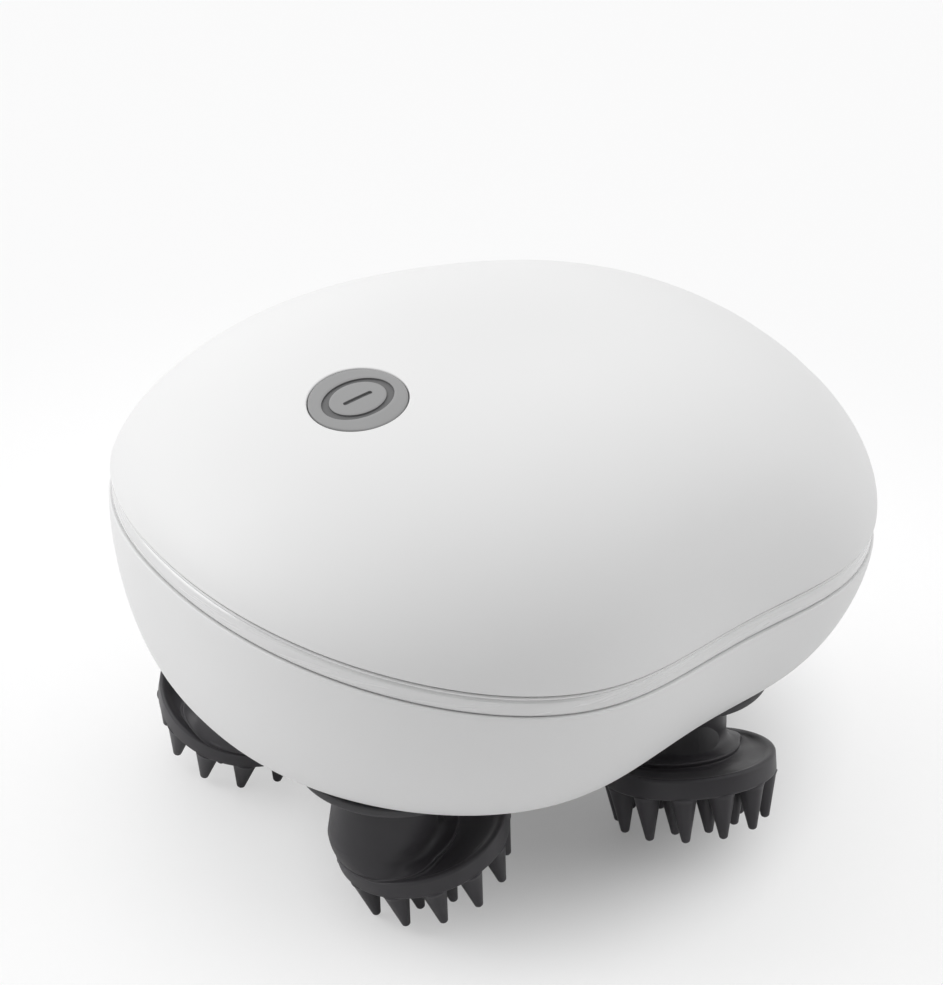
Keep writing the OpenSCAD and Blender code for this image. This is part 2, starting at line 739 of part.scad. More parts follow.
// ---- Claws: spindle, clip, gear, core and pad, one set for each corner ----

module spindle(i) {
    color(STEEL) translate(claw_spot(i)) {
        pin_at([0, 0], spindle_r, spindle_low, floor_z + clip_z - FIT - spindle_low);
        pin_at([0, 0], 2, floor_z + clip_z - 1, 2.2);
        pin_at([0, 0], spindle_r, floor_z + clip_z + 0.9, 0.8);
    }
}

module spindle_clip(i) {
    color(STEEL) translate(claw_spot(i)) rotate(head_turn[i - 1]) difference() {
        pin_at([0, 0], 4.6, floor_z + clip_z, 0.8);
        pin_at([0, 0], 2 + PRESS, floor_z, 40);
        translate([0, -1.4, floor_z]) cube([6, 2.8, 40]);
    }
}

module claw_gear(i) {
    dir = atan2(CORNERS[i - 1].y * claw_y, CORNERS[i - 1].x * claw_x);
    color(NYLON) translate([each claw_spot(i), floor_z + gear_z])
        gear(claw_teeth, claw_module, 0.9, 0.14, mesh_phase(dir, 0, drive_teeth, claw_teeth),
            gear_t, spindle_r + PRESS);
}

// Frame of the tilted head: z = 0 at the lower edge of its band
module at_head(i) {
    translate([each claw_spot(i), pivot_z]) rotate([0, 0, head_turn[i - 1]]) rotate([0, -head_tilt, 0])
        translate([0, 0, -head_drop]) children();
}

module below_collar(i) {
    intersection() {
        children();
        pin_at(claw_spot(i), 40, -20, claw_top + 20);
    }
}

// Solid of the core, grown by g for the pocket in the pad
module core_solid(i, g) {
    low = disc_s + disc_t / 2;
    at_head(i) {
        translate([0, 0, disc_s - g]) cylinder(r = disc_r + g, h = disc_t + 2 * g, $fn = FINE);
        translate([-waist_shift, 0, low]) cylinder(r1 = claw_waist_r - core_skin + g,
            r2 = neck_r - core_skin + g, h = core_top - low + g, $fn = FINE);
    }
    difference() {
        pin_at(claw_spot(i), hub_r + g, 10, hub_top - 10);
        at_head(i) translate([-40, -40, -20]) cube([80, 80, 20 + core_top - 0.6]);
    }
}

module claw_core(i) {
    color([0.3, 0.3, 0.32]) difference() {
        core_solid(i, 0);
        pin_at(claw_spot(i), spindle_r + PRESS, spindle_low, 30);
    }
}

module tine() {
    rotate_extrude($fn = 16) polygon([[0, 1], [tine_root_r, 1], [tine_root_r, 0],
        [tine_tip_r, 0.5 - tine_len], [tine_tip_r / 2, -tine_len], [0, -tine_len]]);
}

// Ring of tines, turned from one at the head's lowest place
module tine_ring(count, r, turn) {
    for (k = [1 : count]) rotate(180 + turn + k * 360 / count) translate([r, 0, 0]) tine();
}

module claw_pad(i) {
    color(CHARCOAL) difference() {
        below_collar(i) union() {
            hull() {
                pin_at(claw_spot(i), neck_r, claw_top - neck_len, neck_len);
                at_head(i) translate([-bell_shift, 0, bell_s]) cylinder(r = bell_r, h = bell_t, $fn = FINE);
            }
            at_head(i) {
                translate([-waist_shift, 0, head_h - 1])
                    cylinder(r = claw_waist_r, h = bell_s - head_h + 1 + SUNK, $fn = FINE);
                rotate_extrude($fn = 72) polygon([[0, 0], [head_r - 0.4, 0], [head_r, 0.4],
                    [head_r, head_h - 0.4], [head_r - 0.4, head_h], [head_r - 1, head_h],
                    [head_r - 1.6, head_h - dish_deep], [0, head_h - dish_deep]]);
                tine_ring(outer_tines, outer_ring_r, outer_turn[i - 1]);
                tine_ring(inner_tines, inner_ring_r, inner_turn[i - 1]);
            }
        }
        core_solid(i, FIT);
    }
}

top_shell();
trim_band();
bottom_shell();
collars();
shaft_seals();
lower_bushes();
upper_bushes();
gearbox_plate();
gearbox_cover();
gearbox_screws();
case_screws();
drive_gear();
drive_axle();
drive_wheel();
counter_axle();
counter_pinion();
counter_wheel();
motor_can();
motor_screws();
motor_shaft();
motor_pinion();
main_pcb();
pcb_screws();
tact_switch();
switch_plunger();
power_button();
button_guide();
button_seal();
battery_cell();
battery_holder();
charge_socket();
charge_contacts();
for (i = CLAWS) {
    spindle(i);
    spindle_clip(i);
    claw_gear(i);
    claw_core(i);
    claw_pad(i);
}
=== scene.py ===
# Looks of an electric scalp massager: white waisted body, silvery trim band, grey power
# button and four charcoal rubber claws, on a pale floor in soft studio light.
import json
import math

import bmesh
import bpy
import numpy as np
from mathutils import Matrix, Vector
from mathutils.geometry import delaunay_2d_cdt


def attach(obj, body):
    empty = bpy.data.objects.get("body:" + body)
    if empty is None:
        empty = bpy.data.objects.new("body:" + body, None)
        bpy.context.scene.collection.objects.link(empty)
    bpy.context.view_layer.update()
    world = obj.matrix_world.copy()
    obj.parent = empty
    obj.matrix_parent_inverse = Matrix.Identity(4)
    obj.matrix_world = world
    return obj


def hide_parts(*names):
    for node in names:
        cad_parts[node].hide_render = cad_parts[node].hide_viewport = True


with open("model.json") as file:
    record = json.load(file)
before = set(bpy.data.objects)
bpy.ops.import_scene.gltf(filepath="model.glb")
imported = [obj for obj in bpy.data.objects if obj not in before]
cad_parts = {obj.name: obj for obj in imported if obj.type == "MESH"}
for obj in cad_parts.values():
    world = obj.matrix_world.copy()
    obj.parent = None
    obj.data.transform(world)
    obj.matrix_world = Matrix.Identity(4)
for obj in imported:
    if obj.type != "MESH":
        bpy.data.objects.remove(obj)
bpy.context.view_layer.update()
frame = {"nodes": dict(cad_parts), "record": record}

MM = 0.001
N = 256                       # points round the body
RING = 128                    # points round a claw, a collar and the button
BRUSH = 0.00001               # depth of the lines in rolled metal and trim, in metres

# ---- Sizes, in millimetres, as in the CAD part ----
HALF, OVAL_W, OVAL_P = 64.0, 114.2, 2.14
WAIST_IN, WAIST_X, WAIST_REACH = 11.6, 22.8, 33.4
UNDER_Z, LOWER_H, UNDER_IN, LOWER_P = 28.9, 21.8, 12.0, 1.58
DOME_H, DOME_P, DOME_RISE = 30.8, 3.0, 1.54
SEAM_RISE, SEAM_SLOPE, CROWN_SLOPE, CROWN_X = 4.0, 5.8, 4.0, 4.0
WALL, FLOOR_T = 2.4, 2.4
BAND_H, GROOVE_H, PARTING = 3.1, 0.8, 0.25
CLAW_X, CLAW_Y, CLAW_SHIFT = 28.5, math.sqrt(34.5 ** 2 - 28.5 ** 2), -4.0
HEAD_R, HEAD_H, DISH, HEAD_SHIFT, TILT = 14.4, 3.6, 0.7, 7.4, math.radians(18.2)
HEAD_TURN = [-12, 68, -100, 180]
OUTER_N, OUTER_R, OUTER_TURN = 12, 12.1, [15, 22, 0, 0]
INNER_N, INNER_R, INNER_TURN = 9, 8.0, [11, 8, 15, 15]
TINE_LEN, ROOT_R, TIP_R = 7.9, 2.2, 0.75
NECK_R, COLLAR_R, COLLAR_T = 8.0, 15.0, 1.8
BUTTON_X, CAP_R, CAP_GAP = -29.4, 8.0, 0.15
SOCKET_Z, SOCKET_R, SOCKET_DEEP, SOCKET_BODY = 42.4, 3.4, 3.0, 4.5
SOCKET_X, SOCKET_FACE = HALF - 12, HALF - 2.2

# ---- Sizes of the skins alone, in millimetres ----
BELL_R, BELL_SHIFT, BELL_S, BELL_T = 10.3, 3.9, 3.3, 0.7     # lip of a claw's neck
NECK_SWELL, FLARE_S = 0.8, 7.3                # widening of the neck, and where its flare starts
BED_R, OVERHANG = 12.9, 1.3                   # edge of the dish, and how far the neck passes it
RIM_R, FOOT_R = 0.55, 0.5                     # roundings of the head's upper and lower edge
FINE = 0.004                                  # smallest step between two rows
PORT_R, WELL_R, SCREW_R = NECK_R + 0.22, 2.9, 1.45           # holes in the floor
BUTTON_SLOT, BUTTON_CUT = 2.3, 0.34           # half length of the slot, depth of the engraving
BUTTON_CROWN = 0.30                           # how far the cap is crowned
FLANGE_R, FLANGE_TOP, FLANGE_LOW, STEM_R, STEM_LOW = CAP_R + 1.3, -3.3, -4.5, 3.0, -10.2
BAND_IN, TONGUE_IN = 1.6, 3.4                 # backs of the trim band and of its tongue

SEAM_Z = UNDER_Z + LOWER_H
DOME_Z0 = SEAM_Z + BAND_H + GROOVE_H + PARTING
FLOOR_Z = UNDER_Z + FLOOR_T
HEAD_DROP = HEAD_SHIFT / math.sin(TILT)
PIVOT_Z = (HEAD_DROP + TINE_LEN) * math.cos(TILT) + (OUTER_R + TIP_R / 2) * math.sin(TILT)
CLAW_TOP = UNDER_Z - COLLAR_T - 0.5
WELL_Z = SEAM_Z - 6.6 - 2                     # seats of the case screws' heads
HOLE_Z = WELL_Z + 2                           # ends of the screw holes
CORNERS = [(-1, -1), (-1, 1), (1, -1), (1, 1)]
SPOTS = [(CLAW_SHIFT + sx * CLAW_X, sy * CLAW_Y) for sx, sy in CORNERS]
CASE_SPOTS = [(-46, 5.5), (-46, -5.5), (43.5, 11), (43.5, -11),
              (CLAW_SHIFT, 35.5), (CLAW_SHIFT, -35.5)]


# ---- Mesh tools ----

def round_angles(n):
    return 2 * np.pi * np.arange(n) / n


TURN = round_angles(N)                        # angles of the points round the body


def loft(rows, first=None, last=None, flip=False):
    """Skin over closed rows of equal length, as (points, faces). first and last are the
    points that close the ends. With first="loop" the last row joins the first one."""
    rows = [np.asarray(r, float) for r in rows]
    n, m = len(rows[0]), len(rows)
    pts = [p for r in rows for p in r]
    faces = []
    loop = isinstance(first, str)
    for i in range(m if loop else m - 1):
        a, b = i * n, (i + 1) % m * n
        for j in range(n):
            k = (j + 1) % n
            faces.append((a + j, a + k, b + k, b + j))
    if not loop:
        for end, base in ((first, 0), (last, (m - 1) * n)):
            if end is None:
                continue
            pts.append(np.asarray(end, float))
            c = len(pts) - 1
            for j in range(n):
                k = (j + 1) % n
                faces.append((c, base + k, base + j) if base == 0 else (c, base + j, base + k))
    if flip:
        faces = [f[::-1] for f in faces]
    return pts, faces


def build(name, parts, body, node, slot, weld=0.0, smooth_angle=None):
    """One object from lofts, in millimetres, riding on a body and standing for a node."""
    pts, faces = [], []
    for p, f in parts:
        base = len(pts)
        pts += [Vector(q) * MM for q in p]
        faces += [tuple(i + base for i in g) for g in f]
    me = bpy.data.meshes.new(name)
    me.from_pydata(pts, [], faces)
    if weld:
        bm = bmesh.new()
        bm.from_mesh(me)
        bmesh.ops.remove_doubles(bm, verts=bm.verts, dist=weld * MM)
        bmesh.ops.recalc_face_normals(bm, faces=bm.faces)
        bm.to_mesh(me)
        bm.free()
    me.polygons.foreach_set("use_smooth", [True] * len(me.polygons))
    if smooth_angle:
        me.set_sharp_from_angle(angle=math.radians(smooth_angle))
    ob = bpy.data.objects.new(name, me)
    bpy.context.scene.collection.objects.link(ob)
    me.materials.append(M[slot])
    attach(ob, body)
    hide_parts(node)
    return ob


def lathe(profile, n, centre):
    """Turned shape about Z from (radius, height) points, closed at both ends."""
    ang = round_angles(n)
    rows = [np.stack([r * np.cos(ang), r * np.sin(ang), np.full(n, z)], 1) + centre
            for r, z in profile if r > 1e-6]
    c = np.asarray(centre, float)
    return loft(rows, c + (0, 0, profile[0][1]), c + (0, 0, profile[-1][1]))


def arc(cx, cz, r, a0, a1, n):
    """Points on an arc in a profile, in n steps between two angles in degrees."""
    turns = [math.radians(a0 + (a1 - a0) * i / n) for i in range(n + 1)]
    return [(cx + r * math.cos(g), cz + r * math.sin(g)) for g in turns]


def mix(a, b, f):
    return a * (1 - f) + b * f


def share(x):
    """Smooth step from 0 to 1 while x runs from 0 to 1."""
    x = np.clip(x, 0, 1)
    return x * x * (3 - 2 * x)


QUARTER = [math.pi / 2 * i / 5 for i in range(6)]     # quarter turn of a rounded edge


# ---- Body surfaces ----

def swell(c):
    """Cosine or sine of the body's rounded oval."""
    return np.sign(c) * np.abs(c) ** (2 / OVAL_P)


def outline(t, k, d):
    """Plan of the body at angles t, with the share k of the waist, drawn in by d."""
    x = HALF * swell(np.cos(t))
    b = OVAL_W / 2 - k * WAIST_IN * np.exp(-((x - WAIST_X) / WAIST_REACH) ** 2)
    y = b * swell(np.sin(t))
    f = 1 - d / np.hypot(x, y)
    return x * f, y * f


def lift(x, h=0.0):
    """Rise of the body's levels from the seam, h = 0, to the crown, h = 1."""
    slope = SEAM_SLOPE * (1 - h) + CROWN_SLOPE * h
    return SEAM_RISE * (x / HALF) ** 2 * (1 - h) - slope * x / HALF


def dome_row(a, d):
    """Row of the dome at the angle a above the seam, drawn in by d."""
    h, s = math.sin(a) ** (2 / DOME_RISE), math.cos(a) ** (2 / DOME_P)
    x, y = outline(TURN, 1 - h, d)
    x, y = x * s + CROWN_X * h, y * s
    return np.stack([x, y, DOME_Z0 + (DOME_H - d) * h + lift(x, h)], 1)


def dome_at(x, y, d):
    """Height of the dome above points of the plan."""
    x, y = np.asarray(x, float), np.asarray(y, float)
    lo, hi = np.zeros(x.shape), np.ones(x.shape)
    for _ in range(46):
        h = (lo + hi) / 2
        s = np.maximum(1e-9, (1 - h ** DOME_RISE)) ** (1 / DOME_P)
        u, v = (x - CROWN_X * h) / s, y / s
        f = 1 + d / np.maximum(1e-6, np.hypot(u, v))
        u, v = u * f, v * f
        b = OVAL_W / 2 - (1 - h) * WAIST_IN * np.exp(-((u - WAIST_X) / WAIST_REACH) ** 2)
        outside = np.abs(u / HALF) ** OVAL_P + np.abs(v / b) ** OVAL_P > 1
        lo, hi = np.where(outside, lo, h), np.where(outside, h, hi)
    h = (lo + hi) / 2
    return DOME_Z0 + (DOME_H - d) * h + lift(x, h)


def side_row(a, d, low):
    """Row of the lower shell at the angle a below the seam, down to the level low."""
    h = math.sin(a) ** (2 / LOWER_P)
    s = 1 - UNDER_IN / HALF * (1 - math.cos(a) ** (2 / LOWER_P))
    x, y = outline(TURN, 1, d)
    x, y = x * s, y * s
    return np.stack([x, y, SEAM_Z - (SEAM_Z - low) * h + lift(x) * (1 - h)], 1)


def seam_row(d, z):
    x, y = outline(TURN, 1, d)
    return np.stack([x, y, z + lift(x)], 1)


# Frame of the power button: its place on the dome, and its outward axis B_N
LEAN = math.atan(float(dome_at(BUTTON_X + 0.5, 0, 0) - dome_at(BUTTON_X - 0.5, 0, 0)))
B_O = np.array([BUTTON_X, 0, float(dome_at(BUTTON_X, 0, 0))])
B_U = np.array([math.cos(LEAN), 0, math.sin(LEAN)])
B_V = np.array([0, 1.0, 0])
B_N = np.array([-math.sin(LEAN), 0, math.cos(LEAN)])


def on_button(x, y, w):
    """From the button's frame to the row frame."""
    return B_O + np.multiply.outer(x, B_U) + np.multiply.outer(y, B_V) + np.multiply.outer(w, B_N)


def drop_at_button(x, y, d):
    """Height of the dome's surface along the button's axis, over points of its plane."""
    x, y = np.asarray(x, float), np.asarray(y, float)
    lo, hi = np.full(x.shape, -9.0), np.full(x.shape, 2.0)
    for _ in range(40):
        w = (lo + hi) / 2
        p = on_button(x, y, w)
        above = p[..., 2] > dome_at(p[..., 0], p[..., 1], d)
        lo, hi = np.where(above, lo, w), np.where(above, w, hi)
    return (lo + hi) / 2


# ---- Materials ----

def material(name):
    m = bpy.data.materials.new(name)
    m.use_nodes = True
    nt = m.node_tree
    bsdf = nt.nodes["Principled BSDF"]
    return m, nt, bsdf


def coords(nt, scale=(1.0, 1.0, 1.0)):
    tc = nt.nodes.new("ShaderNodeTexCoord")
    mp = nt.nodes.new("ShaderNodeMapping")
    mp.inputs["Scale"].default_value = scale
    nt.links.new(tc.outputs["Object"], mp.inputs["Vector"])
    return mp.outputs["Vector"]


def noise(nt, vec, scale, detail, rough=0.5):
    n = nt.nodes.new("ShaderNodeTexNoise")
    n.inputs["Scale"].default_value = scale
    n.inputs["Detail"].default_value = detail
    n.inputs["Roughness"].default_value = rough
    nt.links.new(vec, n.inputs["Vector"])
    return n.outputs["Fac"]


def ramp(nt, fac, stops):
    """Colour ramp with (position, grey or colour) stops."""
    r = nt.nodes.new("ShaderNodeValToRGB")
    el = r.color_ramp.elements
    while len(el) < len(stops):
        el.new(0.5)
    for e, (p, c) in zip(el, stops):
        e.position = p
        e.color = (*c, 1) if isinstance(c, tuple) else (c, c, c, 1)
    nt.links.new(fac, r.inputs["Fac"])
    return r.outputs["Color"]


def spread(nt, fac, low, high, a=0.35, b=0.65):
    """A value that runs from low to high while fac runs from a to b."""
    m = nt.nodes.new("ShaderNodeMapRange")
    m.inputs["From Min"].default_value = a
    m.inputs["From Max"].default_value = b
    m.inputs["To Min"].default_value = low
    m.inputs["To Max"].default_value = high
    nt.links.new(fac, m.inputs["Value"])
    return m.outputs["Result"]


def mixed(nt, fac, a, b, mode="MIX"):
    m = nt.nodes.new("ShaderNodeMix")
    m.data_type = "RGBA"
    m.blend_type = mode
    for sock, v in ((m.inputs[0], fac), (m.inputs[6], a), (m.inputs[7], b)):
        if isinstance(v, (int, float)):
            sock.default_value = v
        elif isinstance(v, tuple):
            sock.default_value = (*v, 1)
        else:
            nt.links.new(v, sock)
    return m.outputs[2]


def bumps(nt, bsdf, layers):
    """Bump from (height socket, strength, distance) layers, one over the next."""
    last = None
    for h, strength, dist in layers:
        b = nt.nodes.new("ShaderNodeBump")
        b.inputs["Strength"].default_value = strength
        b.inputs["Distance"].default_value = dist
        nt.links.new(h, b.inputs["Height"])
        if last:
            nt.links.new(last, b.inputs["Normal"])
        last = b.outputs["Normal"]
    nt.links.new(last, bsdf.inputs["Normal"])


def plastic(name, base, rough, fleck, grain, grain_depth, wave=0.0):
    """Moulded plastic: faint tone drift, fine tool texture and a slow flow wave."""
    m, nt, bsdf = material(name)
    v = coords(nt)
    drift = noise(nt, v, 28.0, 2.0)
    fine = noise(nt, v, grain, 2.0, 0.6)
    lo = tuple(c * (1 - fleck) for c in base)
    hi = tuple(min(1, c * (1 + fleck)) for c in base)
    col = ramp(nt, drift, [(0.35, lo), (0.65, hi)])
    nt.links.new(col, bsdf.inputs["Base Color"])
    matte = spread(nt, noise(nt, v, 60.0, 3.0), rough * 0.93, rough * 1.08)
    nt.links.new(matte, bsdf.inputs["Roughness"])
    bsdf.inputs["IOR"].default_value = 1.5
    layers = [(fine, 0.25, grain_depth)]
    if wave:
        layers.insert(0, (noise(nt, v, 140.0, 1.0), 0.3, wave))
    bumps(nt, bsdf, layers)
    return m


def metal(name, base, rough, scale=(200.0, 200.0, 1500.0)):
    """Turned or rolled metal: fine directional lines and a soft tarnish."""
    m, nt, bsdf = material(name)
    lines = noise(nt, coords(nt, scale), 1.0, 4.0, 0.7)
    stain = noise(nt, coords(nt), 90.0, 4.0)
    lo, hi = tuple(c * 0.8 for c in base), tuple(min(1, c * 1.08) for c in base)
    nt.links.new(ramp(nt, stain, [(0.3, lo), (0.7, hi)]), bsdf.inputs["Base Color"])
    bsdf.inputs["Metallic"].default_value = 1.0
    nt.links.new(spread(nt, lines, rough * 0.8, rough * 1.3), bsdf.inputs["Roughness"])
    bumps(nt, bsdf, [(lines, 0.3, BRUSH)])
    return m


def rubber():
    """Matte silicone: fine spark texture, and edges paler where the surface is sharply curved."""
    m, nt, bsdf = material("claw_rubber_look")
    v = coords(nt)
    base, edge = (0.031, 0.029, 0.033), (0.058, 0.055, 0.061)
    lo, hi = tuple(c * 0.9 for c in base), tuple(c * 1.12 for c in base)
    tone = ramp(nt, noise(nt, v, 70.0, 3.0), [(0.3, lo), (0.7, hi)])
    geo = nt.nodes.new("ShaderNodeNewGeometry")
    # The colour is paler where the mesh's pointiness is high, on the edges.
    paler_edge_share = spread(nt, geo.outputs["Pointiness"], 0.0, 0.7, 0.505, 0.56)
    nt.links.new(mixed(nt, paler_edge_share, tone, edge), bsdf.inputs["Base Color"])
    nt.links.new(spread(nt, noise(nt, v, 180.0, 3.0), 0.38, 0.47), bsdf.inputs["Roughness"])
    bsdf.inputs["IOR"].default_value = 1.43
    bsdf.inputs["Sheen Weight"].default_value = 0.05
    bsdf.inputs["Sheen Roughness"].default_value = 0.5
    bumps(nt, bsdf, [(noise(nt, v, 1600.0, 3.0, 0.6), 0.35, 0.00003),
                     (noise(nt, v, 260.0, 2.0), 0.2, 0.00005)])
    return m


def trim():
    """Silvery trim: glossy, with a clear coat and fine lines along the band."""
    m, nt, bsdf = material("trim_clear_look")
    v = coords(nt, (1.0, 1.0, 14.0))
    tone = ramp(nt, noise(nt, v, 40.0, 2.0), [(0.3, 0.735), (0.7, 0.785)])
    nt.links.new(tone, bsdf.inputs["Base Color"])
    bsdf.inputs["Metallic"].default_value = 0.1
    bsdf.inputs["Coat Weight"].default_value = 0.6
    bsdf.inputs["Coat Roughness"].default_value = 0.08
    lines = noise(nt, coords(nt, (60.0, 60.0, 900.0)), 1.0, 3.0)
    nt.links.new(spread(nt, lines, 0.2, 0.3), bsdf.inputs["Roughness"])
    bumps(nt, bsdf, [(lines, 0.2, BRUSH)])
    return m


# Plastics: name, colour, roughness, tone drift, scale and depth of the grain, and flow wave.
# Metals: name, colour, roughness, and scale of the lines along X, Y and Z.
M = {
    "shell_white": plastic("shell_white_look", (0.80, 0.80, 0.80), 0.48, 0.006, 1400.0, 0.000006,
                           0.000012),
    "trim_clear": trim(),
    "claw_rubber": rubber(),
    "claw_hub": plastic("claw_hub_look", (0.034, 0.033, 0.036), 0.48, 0.08, 1500.0, 0.00002),
    "seal_rubber": plastic("seal_rubber_look", (0.015, 0.015, 0.015), 0.6, 0.15, 1200.0, 0.00003),
    "button_grey": plastic("button_grey_look", (0.300, 0.300, 0.302), 0.42, 0.03, 1500.0, 0.00002),
    "button_mark": plastic("button_mark_look", (0.135, 0.135, 0.137), 0.55, 0.06, 1500.0, 0.00002),
    # seam_grey paints shade into the trim band's upper parting line.
    "seam_grey": plastic("parting_line_painted_shade_look", (0.2, 0.2, 0.2), 0.6, 0.05, 1200.0, 0.00002),
    "nylon": plastic("nylon_look", (0.66, 0.63, 0.54), 0.5, 0.05, 900.0, 0.00003),
    "steel": metal("steel_look", (0.56, 0.57, 0.58), 0.32),
    "motor_steel": metal("motor_steel_look", (0.5, 0.51, 0.52), 0.38, (900.0, 900.0, 60.0)),
    "board": plastic("board_look", (0.012, 0.11, 0.05), 0.35, 0.2, 500.0, 0.00002),
    "cell_wrap": plastic("cell_wrap_look", (0.05, 0.2, 0.14), 0.28, 0.1, 300.0, 0.00002),
    "contact_brass": metal("contact_brass_look", (0.75, 0.55, 0.25), 0.25),
    "switch_black": plastic("switch_black_look", (0.02, 0.02, 0.02), 0.5, 0.12, 1200.0, 0.00002),
}
for part in frame["record"]["subparts"]:
    for s in frame["nodes"][part["node"]].material_slots:
        s.material = M[part["material_slot"]]


# ---- Upper shell: one closed skin with a softly rounded seam edge and button hole ----

def rows_to_hole(start, hole, count, d, power):
    """Rows of the dome between a row and the button hole's edge, closer near the hole."""
    out = []
    for i in range(1, count):
        f = 1 - (1 - i / count) ** power
        x, y = mix(start[:, 0], hole[:, 0], f), mix(start[:, 1], hole[:, 1], f)
        out.append(np.stack([x, y, dome_at(x, y, d)], 1))
    return out


def upper_shell():
    edge, lip, hole_r = 0.35, 0.25, CAP_R + CAP_GAP
    a_edge = math.asin((edge / DOME_H) ** (DOME_RISE / 2))
    a_mid = math.radians(34)                 # from here the rows turn into rings round the hole
    up = [dome_row(a_edge + (a_mid - a_edge) * i / 20, 0) for i in range(21)]
    phi = np.arctan2(up[-1][:, 1], up[-1][:, 0] - BUTTON_X)
    cx, cy = np.cos(phi), np.sin(phi)
    r = hole_r + lip
    w = drop_at_button(r * cx, r * cy, 0)
    outer_edge = on_button(r * cx, r * cy, w)
    rows = up + rows_to_hole(up[-1], outer_edge, 44, 0, 1.6) + [outer_edge]
    for b in QUARTER[1:]:
        q = r - lip * math.sin(b)
        rows.append(on_button(q * cx, q * cy, w - lip * (1 - math.cos(b))))
    w_in = drop_at_button(hole_r * cx, hole_r * cy, WALL)
    for f in (0.3, 0.7, 1.0):
        rows.append(on_button(hole_r * cx, hole_r * cy, mix(w - lip, w_in, f)))
    inner = [dome_row(a_mid * i / 8, WALL) for i in range(9)]
    rows += rows_to_hole(inner[-1], rows[-1], 16, WALL, 1.3)[::-1] + inner[::-1]
    for b in QUARTER[:-1]:
        rows.append(seam_row(edge * (1 - math.sin(b)), DOME_Z0 + edge * (1 - math.cos(b))))
    return loft(rows, "loop")


build("upper_shell_skin", [upper_shell()], "housing", "top_shell", "shell_white")


# ---- Lower shell: closed skin, floor with the claw bores and screw wells ----

def ring2(p, r, n):
    a = round_angles(n)
    return np.stack([p[0] + r * np.cos(a), p[1] + r * np.sin(a)], 1)


def at_level(plan, z):
    return np.c_[plan, np.full(len(plan), z)]


def flat_with_holes(border, holes, z, up):
    """Flat face inside a border with round holes, from a constrained triangulation."""
    loops = [border] + holes
    pts = [tuple(p) for l in loops for p in l]
    edges, base = [], 0
    for l in loops:
        edges += [(base + i, base + (i + 1) % len(l)) for i in range(len(l))]
        base += len(l)
    found = delaunay_2d_cdt([Vector(p) for p in pts], edges, [], 0, 1e-7)
    v, triangles = found[0], found[2]
    keep = []
    for t in triangles:
        c = sum((v[i] for i in t), Vector((0, 0))) / len(t)
        inside = [(c - Vector(h.mean(0))).length < np.linalg.norm(h[0] - h.mean(0)) * 0.999
                  for h in holes]
        if not any(inside) and point_in(c, border):
            keep.append(tuple(t) if up else tuple(t)[::-1])
    return [np.array((p.x, p.y, z)) for p in v], keep


def point_in(c, poly):
    """Whether a point lies inside a polygon, by the crossings of a ray."""
    x, y = poly[:, 0], poly[:, 1]
    x2, y2 = np.roll(x, -1), np.roll(y, -1)
    cross = ((y > c.y) != (y2 > c.y)) & (c.x < (x2 - x) * (c.y - y) / (y2 - y + 1e-30) + x)
    return bool(cross.sum() % 2)


def lower_shell():
    edge = 0.3
    rows = [side_row(math.pi / 2 * i / 40, 0, UNDER_Z) for i in range(40, 0, -1)]
    top = side_row(0, 0, UNDER_Z)
    rows = [r for r in rows if (r[:, 2] < top[:, 2] - edge - 0.05).all()]
    for b in QUARTER:
        rows.append(seam_row(edge * (1 - math.cos(b)), SEAM_Z - edge * (1 - math.sin(b))))
    rows += [seam_row(WALL, SEAM_Z)]
    rows += [side_row(math.pi / 2 * i / 14, WALL, FLOOR_Z) for i in range(1, 15)]
    ports = [ring2(p, PORT_R, 64) for p in SPOTS]
    wells = [ring2(p, WELL_R, 40) for p in CASE_SPOTS]
    parts = [loft(rows, flip=True)]
    parts.append(flat_with_holes(rows[0][:, :2], ports + wells, UNDER_Z, False))
    parts.append(flat_with_holes(rows[-1][:, :2], ports, FLOOR_Z, True))
    for port in ports:
        parts.append(loft([at_level(port, UNDER_Z), at_level(port, FLOOR_Z)]))
    for well, p in zip(wells, CASE_SPOTS):
        hole = ring2(p, SCREW_R, 40)
        parts.append(loft([at_level(well, UNDER_Z), at_level(well, WELL_Z),
                           at_level(hole, WELL_Z), at_level(hole, HOLE_Z)], None, (*p, HOLE_Z)))
    return parts


lower = build("lower_shell_skin", lower_shell(), "housing", "bottom_shell", "shell_white",
              weld=0.002, smooth_angle=40)


# ---- Charging socket: hole in the lower skin, and a ring with a round recess ----

def along_x(prof):
    """Rows of a shape turned about the socket's axis, from (radius, x) points."""
    n = 64
    a = round_angles(n)
    return [np.stack([np.full(n, x), r * np.cos(a), SOCKET_Z + r * np.sin(a)], 1) for r, x in prof]


def cut_round(ob, r, x0, x1):
    """Round hole in an object along the socket's axis, applied to its mesh."""
    me = bpy.data.meshes.new("cutter")
    p, f = loft(along_x([(r, x0), (r, x1)]), (x0, 0, SOCKET_Z), (x1, 0, SOCKET_Z))
    me.from_pydata([Vector(q) * MM for q in p], [], f)
    tool = bpy.data.objects.new("cutter", me)
    bm = bmesh.new()
    bm.from_mesh(me)
    bmesh.ops.recalc_face_normals(bm, faces=bm.faces)
    bm.to_mesh(me)
    bm.free()
    bpy.context.scene.collection.objects.link(tool)
    mod = ob.modifiers.new("hole", "BOOLEAN")
    mod.operation, mod.solver, mod.object = "DIFFERENCE", "EXACT", tool
    bpy.context.view_layer.update()
    made = bpy.data.meshes.new_from_object(ob.evaluated_get(bpy.context.evaluated_depsgraph_get()))
    ob.modifiers.remove(mod)
    ob.data = made
    bm = bmesh.new()
    bm.from_mesh(made)
    bmesh.ops.dissolve_degenerate(bm, dist=1e-7, edges=bm.edges)      # faces without area
    bm.to_mesh(made)
    bm.free()
    made.set_sharp_from_angle(angle=math.radians(40))
    bpy.data.objects.remove(tool)


cut_round(lower, SOCKET_BODY + 0.05, SOCKET_X - 1, HALF + 20)


